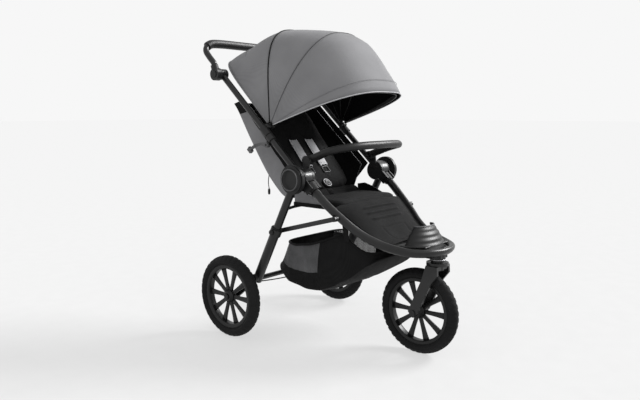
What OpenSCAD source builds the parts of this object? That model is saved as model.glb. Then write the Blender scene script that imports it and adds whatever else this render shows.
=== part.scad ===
// Three-wheeled folding baby stroller, standing open on level ground.
// Millimetres. +Z is up, the child faces -Y, and +X is the child's left.
// Lengths along Y are first measured from the middle of the wheelbase, then
// placed() moves everything so that the origin is under the middle of the box.

/* [Wheels] */
// Radius of the rear wheels over the tyre
wheel_r = 150; // [135:1:165]
// Radius of the front wheel over the tyre
front_wheel_r = 148; // [135:1:160]
// Width of the tyres
tyre_w = 46; // [38:1:52]
// Distance between the rear wheels' middle planes
track = 615; // [600:1:700]
// Distance from the front axle to the rear axle
wheelbase = 618; // [590:1:680]
// Radius of the rims' inner edge
rim_inner_r = 109; // [95:1:112]
// Depth of the tyre's section, from rim seat to tread
tyre_depth = 34; // [28:1:36]
// Spokes in each wheel
spokes = 10; // [6:1:14]
// Radius of the wheel axles
axle_r = 6; // [4:0.5:8]

/* [Frame] */
// Diameter of the upper side tubes
upper_tube_d = 22; // [20:1:26]
// Depth of the oval front tube, seen from the side
front_tube_d = 30; // [26:1:32]
// Width of the oval front tube
front_tube_w = 23; // [20:1:24]
// Diameter of the rear legs
leg_d = 28; // [22:1:28]
// Distance of each upper side tube from the middle plane
upper_x = 223.5; // [222:0.5:226]
// Slope of the upper side tubes
upper_slope = 42.2; // [38:0.2:46]
// Length of the upper side tubes, from fold pin to handle pin
upper_len = 540; // [500:1:580]
// Lean of the rear legs from level
leg_slope = 63; // [60:1:66]
// Length of the rear legs, from fold pin to foot
leg_len = 428; // [415:1:440]
// Height of the fold pins
hub_z = 595; // [585:1:610]
// Radius of the round covers over the fold pins
hub_cap_r = 50; // [44:1:56]
// Radius of the fold pins
hub_pin_r = 8; // [6:0.5:9]

/* [Handlebar] */
// Diameter of the handlebar tube
bar_d = 22; // [18:1:24]
// Thickness of the grip's padding
grip_wall = 5; // [3:0.5:7]
// Rise of the handlebar over its pins
bar_rise = 118; // [105:1:130]

/* [Canopy] */
// Height of the canopy pins
canopy_z = 770; // [760:1:780]
// Half of the canopy's width
canopy_half = 206; // [200:1:207]
// Thickness of the canopy's cloth
canopy_wall = 4; // [3:0.5:6]
// Angle of the rear hem
rear_hem_angle = 43; // [41:1:48]
// Angle of the rear rib
rear_rib_angle = 87; // [80:1:90]
// Angle of the middle rib
mid_rib_angle = 118; // [112:1:124]
// Angle of the front rib
front_rib_angle = 162; // [158:1:168]

/* [Seat] */
// Half of the seat's width
seat_half = 172; // [150:1:180]
// Thickness of the seat cushion
cushion_t = 22; // [18:1:24]
// Height of the seat cushion's top
seat_top_z = 518; // [505:1:522]

/* [Hidden] */

$fn = 48;
side_left = 1;              // the child's left side, +X
side_right = -1;            // the child's right side, -X
run_gap = 0.05;             // radial clearance of a pin in its hole
gap = 1;                    // space between parts that slide past each other
fit_gap = 0.3;              // space between a part and what carries it

front_axle_y = -wheelbase / 2;
rear_axle_y = wheelbase / 2;
rear_wheel_x = track / 2;
hub_y = 25;
hub = [hub_y, hub_z];       // [y, z] of the fold pins

// Points on the upper tube and the leg, at a distance from the fold pin
function along(s, angle) = hub + s * [cos(angle), sin(angle)];
function upper_at(s) = along(s, upper_slope);
function leg_at(s) = along(s, -leg_slope);

// The layers of the fold hub, outwards from the middle plane
upper_knuckle_w = 30;
upper_in = upper_x - upper_knuckle_w / 2;
upper_out = upper_x + upper_knuckle_w / 2;
cheek_t = 5;
inner_cheek_t = 11;
cheek_out = upper_out + gap + cheek_t;
leg_knuckle_w = 17;
leg_x = cheek_out + gap + leg_knuckle_w / 2;
cap_in = cheek_out + gap + leg_knuckle_w + gap;
cap_t = 17;
knuckle_r = 36;

// The front tube, from the hub socket down to the nose
front_top_x = upper_x - 5.5;
front_slope = 42;
front_rise = 7;             // the tube's line passes this far over the fold pin
socket_start = knuckle_r + 4;
socket_end = 84;
function front_dir(s) = hub + s * [-cos(front_slope), -sin(front_slope)]
    + front_rise * [-sin(front_slope), cos(front_slope)];
function yz(x, p) = [x, p[0], p[1]];
front_half = [
    yz(front_top_x, front_dir(socket_start)), yz(front_top_x, front_dir(socket_end)),
    yz(front_top_x - 5, front_dir(135)), [195, -143, 458], [172, -192, 420],
    [150, -244, 393], [133, -294, 379], [112, -342, 371], [78, -381, 369],
    [38, -399, 368], [0, -404, 368]
];

// Link between the front tube and the rear leg
link_front = front_dir(191);
collar_at = 213;            // distance of the collar from the fold pin
link_rear = leg_at(collar_at);
link_x = leg_x - leg_d / 2 - 9;
link_t = 6;
collar_l = 26;
sleeve_d = leg_d + 6;       // of the rear leg below the collar

// Rear suspension
arm_pivot = leg_at(leg_len - 14);
arm_pin_r = 5;
arm_x = leg_x + leg_d / 2 + gap + 5;
arm_t = 10;
rear_hub_half = 15;         // half of the wheel hub's width

// Front fork
steer_y = -376;
steer_z = 336;              // underside of the steerer housing
stem_r = 11;
lock_r = 31;                // from the swivel's axis to the pin that locks it
fork_leg_x = 38;
fork_leg_t = 9;

// Handlebar
handle_pin = upper_at(upper_len);
handle_pin_r = 6;
handle_head_r = 23;
handle_knuckle_w = 22;
handle_x = upper_out + gap + handle_knuckle_w / 2;
handle_lean = 18;           // of the handlebar's foot from upright
function bar_at(h) = handle_pin + h * [sin(handle_lean), cos(handle_lean)];
bar_back = 61;              // the crossbar lies this far behind the handle's pin
socket_from = 22;           // the handlebar's socket, from the handle pin
socket_to = 34;
bar_half = [
    yz(handle_x, bar_at(socket_from + fit_gap)), yz(handle_x, bar_at(socket_to)),
    yz(handle_x, bar_at(44)),
    yz(handle_x + 1, handle_pin + [38, bar_rise - 52]),
    yz(handle_x, handle_pin + [55, bar_rise - 32]),
    yz(handle_x - 10, handle_pin + [bar_back + 1, bar_rise - 14]),
    yz(handle_x - 34, handle_pin + [bar_back + 2, bar_rise - 3]),
    yz(handle_x - 85, handle_pin + [bar_back + 1, bar_rise]),
    yz(handle_x - 160, handle_pin + [bar_back, bar_rise]),
    yz(0, handle_pin + [bar_back, bar_rise])
];

// Canopy
canopy_y = 194;
canopy_pin = [canopy_y, canopy_z];
canopy_root_r = 16;         // the cloth starts this far from the pin
pin_r = 5;
// Height of the arch over the pins, by fan angle
arch_table = [[40, 366], [62, 336], [84, 345], [106, 359], [128, 380],
              [146, 372], [168, 380]];
function arch(a) = lookup(a, arch_table);
// Squareness of the arch, by fan angle: 1 is an ellipse, less is squarer
square_table = [[40, 0.3], [84, 0.46], [118, 0.8], [168, 0.64]];
function squareness(a) = lookup(a, square_table);

// Belly bar
bar_pin = [34, 655];
bar_pin_r = 5;
belly_x = 176;
belly_d = 27;

// Backrest: hinged across the seat's crease
crease = [95, 537];
back_angle = 50;
back_len = 405;
back_half = 160;
pad_t = 26;
board_t = 8;
shell_t = 4;
shell_half = 186;
function back_at(s, depth) = crease + s * [cos(back_angle), sin(back_angle)]
    + depth * [sin(back_angle), -cos(back_angle)];

handle_reach = handle_pin[0] + bar_back + 2 + bar_d / 2 + grip_wall;
centre_y = -(handle_reach + front_axle_y - front_wheel_r) / 2;

module placed() translate([0, centre_y, 0]) children();

// A round solid along X between two distances from the middle plane, on one side
module disc(side, x0, x1, r, at) {
    translate([side > 0 ? x0 : -x1, at[0], at[1]])
        rotate([0, 90, 0]) cylinder(h = x1 - x0, r = r);
}

// A round bar between two points
module bar(a, b, r) {
    d = b - a;
    translate(a)
        rotate([0, acos(d[2] / norm(d)), atan2(d[1], d[0])])
            cylinder(h = norm(d), r = r);
}

// The same outline in the YZ plane, as thick as x0 to x1, on one side
module plate(side, x0, x1) {
    translate([side > 0 ? x0 : -x1, 0, 0])
        rotate([90, 0, 90]) linear_extrude(x1 - x0) children();
}

// A closed skin over rings of points, each counter-clockwise about the way forward
module skin(rings) {
    n = len(rings[0]);
    last = len(rings) - 1;
    polyhedron(
        points = [for (r = rings) for (p = r) p],
        faces = concat(
            [[for (k = [0:n - 1]) k]],
            [for (i = [0:last - 1]) for (k = [0:n - 1])
                [i * n + k, (i + 1) * n + k,
                 (i + 1) * n + (k + 1) % n, i * n + (k + 1) % n]],
            [[for (k = [n - 1:-1:0]) last * n + k]]
        ),
        convexity = 8
    );
}

function unit(v) = v / norm(v);

// A smooth line through points, with steps between each two
function spline(p, steps) = [
    for (i = [0:len(p) - 2]) for (k = [0:steps - (i == len(p) - 2 ? 0 : 1)])
        let (a = p[max(i - 1, 0)], b = p[i], c = p[i + 1],
             d = p[min(i + 2, len(p) - 1)], t = k / steps)
        0.5 * (2 * b + (c - a) * t + (2 * a - 5 * b + 4 * c - d) * t * t
               + (3 * b - a - 3 * c + d) * t * t * t)
];

// Half a line on +X, ending at the middle plane, made whole
function whole(half) = concat(
    half, [for (i = [len(half) - 2:-1:0]) [-half[i][0], half[i][1], half[i][2]]]
);

// A tube along a line; up is a direction that the line never takes, and the
// tube may be oval, with its own radius along up
module tube_along(line, r, up, sides, up_r = 0) {
    last = len(line) - 1;
    rise = up_r > 0 ? up_r : r;
    skin([for (i = [0:last])
        let (t = unit(line[min(i + 1, last)] - line[max(i - 1, 0)]),
             u = unit(cross(t, up)), v = cross(t, u))
        [for (k = [0:sides - 1])
            line[i] + r * cos(360 * k / sides) * u + rise * sin(360 * k / sides) * v]
    ]);
}

// The front tube, grown by a clearance where something is cut to fit it
module front_loop(grow, sides) {
    tube_along(spline(whole(front_half), 3), front_tube_w / 2 + grow,
               [0, sin(front_slope), -cos(front_slope)], sides, front_tube_d / 2 + grow);
}

// ---------------------------------------------------------------- front frame

module front_frame() {
    color([0.12, 0.12, 0.13]) front_loop(0, 16);
}

module hub_body(side) {
    socket_r = front_tube_d / 2 + 3.5;
    a = front_dir(socket_start - 4);
    b = front_dir(socket_end - 16);
    c = front_dir(socket_end + 2);
    color([0.1, 0.1, 0.1]) {
        difference() {
            union() {
                disc(side, upper_in - gap - inner_cheek_t, upper_in - gap, knuckle_r, hub);
                disc(side, upper_out + gap, cheek_out, knuckle_r, hub);
                for (x = [upper_in - gap - inner_cheek_t, upper_out + gap])
                    plate(side, x, x + (x < upper_x ? inner_cheek_t : cheek_t))
                        translate(hub) rotate(180 + front_slope)
                            translate([0, -socket_r + 2 - front_rise])
                                square([socket_end - 20, 2 * socket_r - 4]);
                difference() {
                    bar(yz(side * front_top_x, a), yz(side * front_top_x, b), socket_r);
                    disc(side, upper_in - gap, upper_out + gap, knuckle_r + 2, hub);
                }
            }
            bar(yz(side * front_top_x, a), yz(side * front_top_x, c), front_tube_d / 2 + fit_gap);
        }
        disc(side, upper_in - gap - inner_cheek_t, cap_in, hub_pin_r, hub);
    }
}

module hub_cap(side) {
    color([0.09, 0.09, 0.09]) {
        disc(side, cap_in, cap_in + cap_t - 4, hub_cap_r, hub);
        difference() {
            disc(side, cap_in + cap_t - 4, cap_in + cap_t, hub_cap_r - 4, hub);
            disc(side, cap_in + cap_t - 1.5, cap_in + cap_t + 1, hub_cap_r - 9, hub);
        }
    }
}

module steerer_housing() {
    color([0.1, 0.1, 0.1]) difference() {
        union() {
            translate([0, steer_y, steer_z]) cylinder(h = 34, r = 26);
            translate([-22, steer_y - 24, steer_z + 8]) cube([44, 30, 22]);
            translate([-9, steer_y + 10, steer_z]) cube([18, lock_r - 1, 10]);
        }
        translate([0, steer_y, steer_z - 1]) cylinder(h = 31, r = stem_r + run_gap);
        translate([0, steer_y + lock_r, steer_z - 1]) cylinder(h = 12, r = 4 + run_gap);
        front_loop(fit_gap, 16);
    }
}

// Foot platform inside the front loop, with a raised toe cup
module footrest() {
    color([0.06, 0.06, 0.06]) difference() {
        union() {
            hull() {
                translate([-128, -282, 380]) cube([256, 4, 10]);
                translate([-92, -366, 372]) cube([184, 4, 12]);
            }
            hull() {
                translate([-62, -352, 378]) cylinder(h = 4, r = 20, $fn = 32);
                translate([62, -352, 378]) cylinder(h = 4, r = 20, $fn = 32);
                translate([-70, -352, 414]) cylinder(h = 4, r = 14, $fn = 32);
                translate([70, -352, 414]) cylinder(h = 4, r = 14, $fn = 32);
                translate([-40, -330, 442]) cylinder(h = 5, r = 16, $fn = 32);
                translate([40, -330, 442]) cylinder(h = 5, r = 16, $fn = 32);
            }
        }
        hull() {
            translate([-58, -322, 391]) cube([116, 20, 2]);
            translate([-50, -312, 436]) cube([100, 30, 30]);
        }
        front_loop(fit_gap, 16);
    }
}

module calf_panel() {
    color([0.07, 0.07, 0.07]) plate(1, -112, 112)
        polygon([[-107.4, seat_top_z - 12], [-107.4, seat_top_z + 2], [-126, seat_top_z - 4],
                 [-228, 410], [-278, 398], [-278, 388], [-222, 399],
                 [-120, seat_top_z - 16]]);
}

module seat_cushion() {
    color([0.05, 0.05, 0.05]) hull() {
        for (x = [-seat_half + 14, seat_half - 14]) for (y = [-96, 62])
            translate([x, y, seat_top_z - cushion_t])
                cylinder(h = cushion_t - 6, r = 11, $fn = 24);
        translate([-seat_half + 26, -92, seat_top_z - 2])
            cube([2 * seat_half - 52, 150, 2]);
    }
    // cloth tabs that carry it on the front tube
    color([0.05, 0.05, 0.05]) for (side = [side_left, side_right])
        plate(side, seat_half - 20, front_top_x - 8.2 - front_tube_w / 2 - 0.4)
            translate([-94, 502]) square([18, 9]);
}

// Steel hoop under the seat, arched between the rear legs
module seat_hoop() {
    foot = leg_at(120);
    half = [yz(leg_x - leg_d / 2 - fit_gap - 1, foot), [226, foot[0] + 2, foot[1] + 1],
            [200, foot[0] + 4, foot[1] + 3], [160, foot[0] + 5, foot[1] + 4],
            [80, foot[0] + 5, foot[1] + 5], [0, foot[0] + 5, foot[1] + 5]];
    color([0.1, 0.1, 0.1]) tube_along(spline(whole(half), 3), 5, [0, 1, 1], 10);
}

module link_mounts() {
    color([0.1, 0.1, 0.1]) for (side = [side_left, side_right]) {
        difference() {
            disc(side, front_top_x - 2, link_x - link_t / 2 - fit_gap, 9, link_front);
            front_loop(fit_gap, 16);
        }
        disc(side, link_x - link_t / 2 - fit_gap, link_x + link_t / 2 + 2, 4, link_front);
    }
}

module lower_links() {
    d = link_rear - link_front;
    color([0.1, 0.1, 0.1]) for (side = [side_left, side_right]) {
        difference() {
            union() {
                plate(side, link_x - link_t / 2, link_x + link_t / 2)
                    translate(link_front) rotate(atan2(d[1], d[0]))
                        translate([0, -8]) square([norm(d), 16]);
                disc(side, link_x - link_t / 2, link_x + link_t / 2, 9, link_front);
                disc(side, link_x - link_t / 2, link_x + link_t / 2, 9, link_rear);
            }
            disc(side, link_x - link_t, link_x + link_t, 4 + run_gap, link_front);
        }
    }
}

// Ear inside each hub that carries the belly bar's pin
module bar_mount(side) {
    x1 = upper_in - gap - inner_cheek_t;
    color([0.1, 0.1, 0.1]) {
        plate(side, x1 - 7, x1)
            polygon([[hub_y - 12, hub_z + 12], [hub_y + 20, hub_z + 12],
                     [bar_pin[0] + 12, bar_pin[1]], [bar_pin[0] - 14, bar_pin[1]]]);
        disc(side, x1 - 7, x1, 16, bar_pin);
        disc(side, x1 - 17, x1 - 7, bar_pin_r, bar_pin);
    }
}

// Padded belly bar: one round tube between the two ears
module belly_bar() {
    half = [[belly_x - 2, bar_pin[0] - 10, bar_pin[1] + 5], [belly_x - 1, -12, 673],
            [belly_x - 1, -50, 687], [belly_x - 8, -88, 697], [belly_x - 34, -120, 703],
            [belly_x - 84, -138, 707], [0, -146, 708]];
    x1 = upper_in - gap - inner_cheek_t - 7;
    color([0.13, 0.13, 0.13]) {
        tube_along(spline(whole(half), 3), belly_d / 2, [0, 0.3, 1], 12);
        for (side = [side_left, side_right]) difference() {
            disc(side, belly_x - 10, x1 - fit_gap, 16, bar_pin);
            disc(side, x1 - 13, x1 + 1, bar_pin_r + run_gap, bar_pin);
        }
    }
}

// Underseat basket: an open bag, hung from the front tube and the legs
module basket() {
    color([0.05, 0.05, 0.05]) difference() {
        plate(1, -188, 188) polygon([[165, 352], [222, 238], [140, 188], [40, 182],
            [-10, 188], [-60, 208], [-150, 262], [-224, 328], [-206, 350], [-150, 392],
            [-124, 424], [-60, 392], [20, 362], [100, 350]]);
        plate(1, -184, 184) polygon([[163, 356], [217, 240], [139, 192], [40, 186],
            [-9, 192], [-58, 212], [-148, 266], [-214, 326], [-200, 348], [-146, 390],
            [-124, 440], [60, 460]]);
    }
    // straps that hang it on the front tube
    color([0.05, 0.05, 0.05]) difference() {
        for (side = [side_left, side_right]) plate(side, 180, 198)
            polygon([[-150, 380], [-128, 380], [-128, 470], [-150, 452]]);
        front_loop(fit_gap, 16);
        translate([-300, -160, 458]) cube([600, 60, 40]);
    }
}

// ------------------------------------------------------------------- harness

// The buckle lies against the foot of the backrest, a little to the child's right
buckle_at = [-40, 70, 560];
module against_back() translate(buckle_at) rotate([back_angle - 6, 0, 0]) children();

module crotch_strap() {
    color([0.08, 0.08, 0.08]) hull() {
        translate([-34, 60, seat_top_z - 0.5]) cube([28, 2, 2]);
        against_back() translate([-14, -21.3, -6]) cube([28, 1, 3]);
    }
}

module buckle() {
    color([0.2, 0.2, 0.2]) against_back() difference() {
        translate([0, 0, -6]) cylinder(h = 13, r = 20);
        translate([0, 0, 1]) cylinder(h = 10, r = 12);
    }
}

module buckle_button() {
    color([0.5, 0.5, 0.5]) against_back() translate([0, 0, 4]) cylinder(h = 5, r = 11.7);
}

// --------------------------------------------------------------- upper frame

module upper_tube(side) {
    a = upper_at(knuckle_r - 8);
    color([0.12, 0.12, 0.13]) difference() {
        union() {
            disc(side, upper_in, upper_out, knuckle_r, hub);
            bar(yz(side * upper_x, a), yz(side * upper_x, handle_pin), upper_tube_d / 2);
            disc(side, upper_in, upper_out, handle_head_r - 3, handle_pin);
            disc(side, upper_out, handle_x + 3, handle_pin_r, handle_pin);
        }
        disc(side, upper_in - 1, upper_out + 1, hub_pin_r + run_gap, hub);
    }
}

// A clamp round a side tube between two distances from the fold pin
module clamp(side, from, to, wall) {
    a = upper_at(from);
    b = upper_at(to);
    difference() {
        bar(yz(side * upper_x, a), yz(side * upper_x, b), upper_tube_d / 2 + wall);
        bar(yz(side * upper_x, upper_at(from - 2)), yz(side * upper_x, upper_at(to + 2)),
            upper_tube_d / 2);
    }
}

// Clamps on the side tubes, with the pins that the canopy's ribs turn on
module canopy_pins() {
    color([0.1, 0.1, 0.1]) for (side = [side_left, side_right]) {
        difference() {
            union() {
                clamp(side, 212, 250, 4);
                disc(side, canopy_half + 1, upper_x, 9, canopy_pin);
            }
            bar(yz(side * upper_x, upper_at(200)), yz(side * upper_x, upper_at(262)),
                upper_tube_d / 2);
        }
        disc(side, canopy_half - canopy_wall - 13, canopy_half + 1, pin_r, canopy_pin);
    }
}

// Half of the arch's outline at a fan angle: [x, distance from the pins]
function arch_line(a, inset, steps) = [
    for (k = [0:steps])
        let (u = 180 * k / steps, c = cos(u), s = sin(u))
        [(canopy_half - inset) * sign(c) * pow(abs(c), squareness(a)),
         canopy_root_r + (arch(a) - inset - canopy_root_r) * pow(abs(s), squareness(a))]
];

function fan_point(p, a) = yz(p[0], canopy_pin + p[1] * [cos(a), sin(a)]);

// Canopy cloth between two fan angles
// A closed sheet: each ring runs out along one face and back along the other,
// so that both ends close with a strip of four-sided faces
module sheet(rings) {
    n = len(rings[0]);
    last = len(rings) - 1;
    polyhedron(
        points = [for (r = rings) for (p = r) p],
        faces = concat(
            [for (k = [0:n / 2 - 2]) [k, k + 1, n - 2 - k, n - 1 - k]],
            [for (i = [0:last - 1]) for (k = [0:n - 1])
                [i * n + k, (i + 1) * n + k,
                 (i + 1) * n + (k + 1) % n, i * n + (k + 1) % n]],
            [for (k = [0:n / 2 - 2])
                [last * n + n - 1 - k, last * n + n - 2 - k, last * n + k + 1, last * n + k]]
        ),
        convexity = 8
    );
}

module fan(from, to, steps) {
    sheet([for (i = [0:steps])
        let (a = from + (to - from) * i / steps,
             outside = arch_line(a, 0, 24), inside = arch_line(a, canopy_wall, 24))
        [for (p = concat(outside, [for (k = [24:-1:0]) inside[k]])) fan_point(p, a)]
    ]);
}

// A flat rib inside the cloth at one fan angle, with an eye round each pin
module rib(a, lane) {
    inset = canopy_wall + 1.6 + lane;
    rib_t = 3;
    spread = 1.3;           // half of the rib's width, in degrees
    color([0.1, 0.1, 0.1]) {
        sheet([for (b = [a - spread, a + spread])
            let (outside = arch_line(a, inset, 24), inside = arch_line(a, inset + rib_t, 24))
            [for (p = concat(outside, [for (k = [24:-1:0]) inside[k]])) fan_point(p, b)]
        ]);
        for (side = [side_left, side_right]) difference() {
            union() {
                disc(side, canopy_half - inset - rib_t, canopy_half - inset, 9, canopy_pin);
                plate(side, canopy_half - inset - rib_t, canopy_half - inset)
                    translate(canopy_pin) rotate(a) translate([0, -4]) square([canopy_root_r + 3, 8]);
            }
            disc(side, canopy_half - inset - rib_t - 1, canopy_half, pin_r + run_gap, canopy_pin);
        }
    }
}

module canopy_rear() color([0.5, 0.51, 0.52]) fan(rear_hem_angle, rear_rib_angle - 0.4, 5);
module canopy_mid() color([0.5, 0.51, 0.52]) fan(rear_rib_angle + 0.4, mid_rib_angle - 0.4, 5);
module canopy_front() color([0.5, 0.51, 0.52]) fan(mid_rib_angle + 0.4, front_rib_angle, 5);
module canopy_rib_rear() rib(rear_rib_angle, 0);
module canopy_rib_mid() rib(mid_rib_angle, 3.6);
module canopy_rib_front() rib(front_rib_angle - 1.5, 7.2);

// ----------------------------------------------------------------- backrest

module backrest_board() {
    color([0.15, 0.15, 0.15]) plate(1, -back_half + 12, back_half - 12)
        polygon([back_at(150, pad_t), back_at(back_len - 10, pad_t),
                 back_at(back_len - 10, pad_t + board_t), back_at(150, pad_t + board_t)]);
}

module backrest_pad() {
    color([0.05, 0.05, 0.05]) plate(1, -back_half, back_half)
        polygon([back_at(2, 6), back_at(10, 0), back_at(back_len - 12, 0),
                 back_at(back_len, 10), back_at(back_len, pad_t), back_at(8, pad_t)]);
}

// Cloth behind the backrest, with side wings up to the side tubes
module seat_shell() {
    outer = [back_at(-2, 34), back_at(30, 56), back_at(110, 66), back_at(200, 62),
             back_at(300, 52), back_at(400, 38), back_at(440, 37)];
    inner = [for (i = [len(outer) - 1:-1:0]) outer[i] - shell_t * [sin(back_angle), -cos(back_angle)]];
    wing = [upper_at(430) + [10, -16], upper_at(120) + [10, -16], upper_at(60) + [12, -22]];
    color([0.5, 0.51, 0.52]) {
        plate(1, -shell_half, shell_half) polygon(concat(outer, inner));
        for (side = [side_left, side_right]) {
            plate(side, shell_half - shell_t, shell_half) polygon(concat(outer, wing));
            plate(side, shell_half - 1, upper_x - upper_tube_d / 2 - fit_gap)
                polygon([upper_at(300) + [-2, 2], upper_at(360) + [-2, 2],
                         upper_at(360) + [12, -22], upper_at(300) + [12, -22]]);
        }
    }
}

module shoulder_straps() {
    color([0.08, 0.08, 0.08]) for (x = [-44, 44])
        plate(x, abs(x) - 12, abs(x) + 12)
            polygon([back_at(52, -fit_gap), back_at(250, -fit_gap),
                     back_at(250, -2.5), back_at(52, -2.5)]);
}

module shoulder_pads() {
    color([0.75, 0.75, 0.75]) for (x = [-44, 44])
        plate(x, abs(x) - 20, abs(x) + 20)
            polygon([back_at(132, -3), back_at(218, -3), back_at(218, -9),
                     back_at(210, -12), back_at(140, -12), back_at(132, -9)]);
}

// Recline strap: hangs free from the back of the shell
strap_top = yz(-165, back_at(150, 66.2));
strap_drop = 70;
strap_route = [for (t = [0:5:strap_drop])
    strap_top + [2 * sin(5 * t), 3 * sin(2.6 * t) * sin(2.6 * t), -t]];
module recline_strap() {
    color([0.05, 0.05, 0.05]) tube_along(strap_route, 1.5, [0, 1, 0], 8);
}

module recline_toggle() {
    color([0.05, 0.05, 0.05]) translate(strap_route[len(strap_route) - 1] + [-4.5, -3.5, -22]) cube([9, 7, 22]);
}

// -------------------------------------------------------------------- brake

lever_pin = upper_at(194) + [17, -21];
lever_pin_r = 4;
lever_x = upper_x + 8;
lever_out = 4;      // outer face from lever_x, inboard of the rear leg it passes in the fold
module brake_bracket() {
    color([0.1, 0.1, 0.1]) {
        clamp(side_right, 186, 209, 4);
        plate(side_right, lever_x - 12, lever_x - 5)
            polygon([upper_at(187) + [9, -9.5], upper_at(208) + [9, -9.5],
                     lever_pin + [9, 0], lever_pin + [0, -9], lever_pin + [-9, -2]]);
        disc(side_right, lever_x - 5, lever_x + 5, lever_pin_r, lever_pin);
    }
}

// Hand lever of the running brake: curved, with a block at its end
module brake_lever() {
    color([0.35, 0.36, 0.37]) difference() {
        plate(side_right, lever_x - 5 + fit_gap, lever_x + lever_out) union() {
            translate(lever_pin) circle(r = 9);
            translate(lever_pin) polygon([[-2, 9], [26, 8], [56, 2], [84, -14], [80, -22],
                                          [52, -7], [24, -2], [-2, -9]]);
        }
        disc(side_right, lever_x - 7, lever_x + 7, lever_pin_r + run_gap, lever_pin);
    }
    color([0.05, 0.05, 0.05]) plate(side_right, lever_x - 8, lever_x + lever_out)
        translate(lever_pin) polygon([[74, -24], [84, -33], [98, -20], [88, -8]]);
}

// Cable of the parking brake, slung under the cross bar between the rear feet
module brake_cable() {
    at = leg_at(leg_len - 8);
    route = [for (x = [-1:0.125:1])
        yz(x * (leg_x - sleeve_d / 2 + 1), at + [-4, -12 - 14 * (1 - x * x)])];
    color([0.05, 0.05, 0.05]) tube_along(route, 2.2, [0, 1, 0], 8);
}

// ---------------------------------------------------------------- handlebar

module handlebar() {
    color([0.12, 0.12, 0.13])
        tube_along(spline(whole(bar_half), 3), bar_d / 2, [0, 1, -0.3], 14);
}

// Soft sleeve over the handlebar between its arms
module handle_grip() {
    line = spline(whole([for (i = [5:len(bar_half) - 1]) bar_half[i]]), 3);
    color([0.06, 0.06, 0.06]) difference() {
        tube_along(line, bar_d / 2 + grip_wall, [0, 1, -0.3], 14);
        tube_along(spline(whole(bar_half), 3), bar_d / 2 + 0.1, [0, 1, -0.3], 14);
    }
}

module handle_knuckle(side) {
    x0 = upper_out + gap;
    x1 = handle_x + handle_knuckle_w / 2;
    color([0.1, 0.1, 0.1]) difference() {
        union() {
            disc(side, x0, x1, handle_head_r, handle_pin);
            difference() {
                bar(yz(side * handle_x, handle_pin), yz(side * handle_x, bar_at(socket_to)),
                    bar_d / 2 + 3);
                // clear of the side tube's head
                disc(side, x0 - 8, x0, handle_head_r - 3 + gap, handle_pin);
            }
        }
        disc(side, x0 - 1, handle_x + 3 + gap, handle_pin_r + run_gap, handle_pin);
        disc(side, x1 - 6, x1 + 8, 12 + run_gap, handle_pin);
        bar(yz(side * handle_x, bar_at(socket_from)), yz(side * handle_x, bar_at(socket_to + 6)),
            bar_d / 2 + 0.1);
    }
}

module handle_button(side) {
    x1 = handle_x + handle_knuckle_w / 2;
    color([0.2, 0.2, 0.2]) disc(side, x1 - 2.5, x1 + 2.5, 12, handle_pin);
}

// --------------------------------------------------------------- rear frame

module rear_leg(side) {
    a = leg_at(knuckle_r - 10);
    b = leg_at(leg_len);
    sleeve = leg_at(collar_at - collar_l / 2 - 4);
    color([0.12, 0.12, 0.13]) difference() {
        union() {
            disc(side, leg_x - leg_knuckle_w / 2, leg_x + leg_knuckle_w / 2, knuckle_r - 8, hub);
            difference() {
                bar(yz(side * leg_x, a), yz(side * leg_x, b), leg_d / 2);
                disc(side, upper_in, cheek_out + gap, knuckle_r + 2, hub);
                disc(side, cap_in - gap, cap_in + cap_t, hub_cap_r + 2, hub);
            }
            difference() {
                bar(yz(side * leg_x, sleeve), yz(side * leg_x, b), sleeve_d / 2);
                disc(side, arm_x - arm_t / 2 - fit_gap, arm_x + 20, 30, arm_pivot);
            }
            disc(side, leg_x, arm_x - arm_t / 2 - fit_gap, 14, arm_pivot);
            disc(side, leg_x, arm_x + arm_t / 2 + 2, arm_pin_r, arm_pivot);
        }
        disc(side, leg_x - leg_knuckle_w, leg_x + leg_knuckle_w, hub_pin_r + run_gap, hub);
    }
}

// Cross bar between the feet of the rear legs
module axle_bar() {
    at = leg_at(leg_len - 8);
    color([0.12, 0.12, 0.13]) difference() {
        disc(1, -leg_x + sleeve_d / 2 - 4, leg_x - sleeve_d / 2 + 4, 9, at);
        for (side = [side_left, side_right])
            bar(yz(side * leg_x, leg_at(leg_len - 50)), yz(side * leg_x, leg_at(leg_len + 40)),
                sleeve_d / 2 + fit_gap);
    }
}

module leg_collars() {
    a = leg_at(collar_at - collar_l / 2);
    b = leg_at(collar_at + collar_l / 2);
    color([0.1, 0.1, 0.1]) for (side = [side_left, side_right]) difference() {
        bar(yz(side * leg_x, a), yz(side * leg_x, b), sleeve_d / 2 + 4);
        bar(yz(side * leg_x, leg_at(collar_at - collar_l)),
            yz(side * leg_x, leg_at(collar_at + collar_l)), sleeve_d / 2 + 0.1);
        plate(side, link_x - link_t, link_x + link_t / 2 + fit_gap)
            translate(link_rear) square(80, center = true);
    }
}

module swing_arm(side) {
    x0 = arm_x - arm_t / 2;
    x1 = arm_x + arm_t / 2;
    axle = [rear_axle_y, wheel_r];
    color([0.1, 0.1, 0.1]) difference() {
        union() {
            disc(side, x0, x1, 15, arm_pivot);
            disc(side, x0, x1, 15, axle);
            plate(side, x0, x1) polygon([arm_pivot + [-3, 14], axle + [2, 14],
                                         axle + [-3, -14], arm_pivot + [-2, -14]]);
            disc(side, x1, rear_wheel_x + rear_hub_half + 4, axle_r, axle);
        }
        disc(side, x0 - 1, x1 + 1, arm_pin_r + run_gap, arm_pivot);
    }
}

// -------------------------------------------------------------------- wheels

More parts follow.
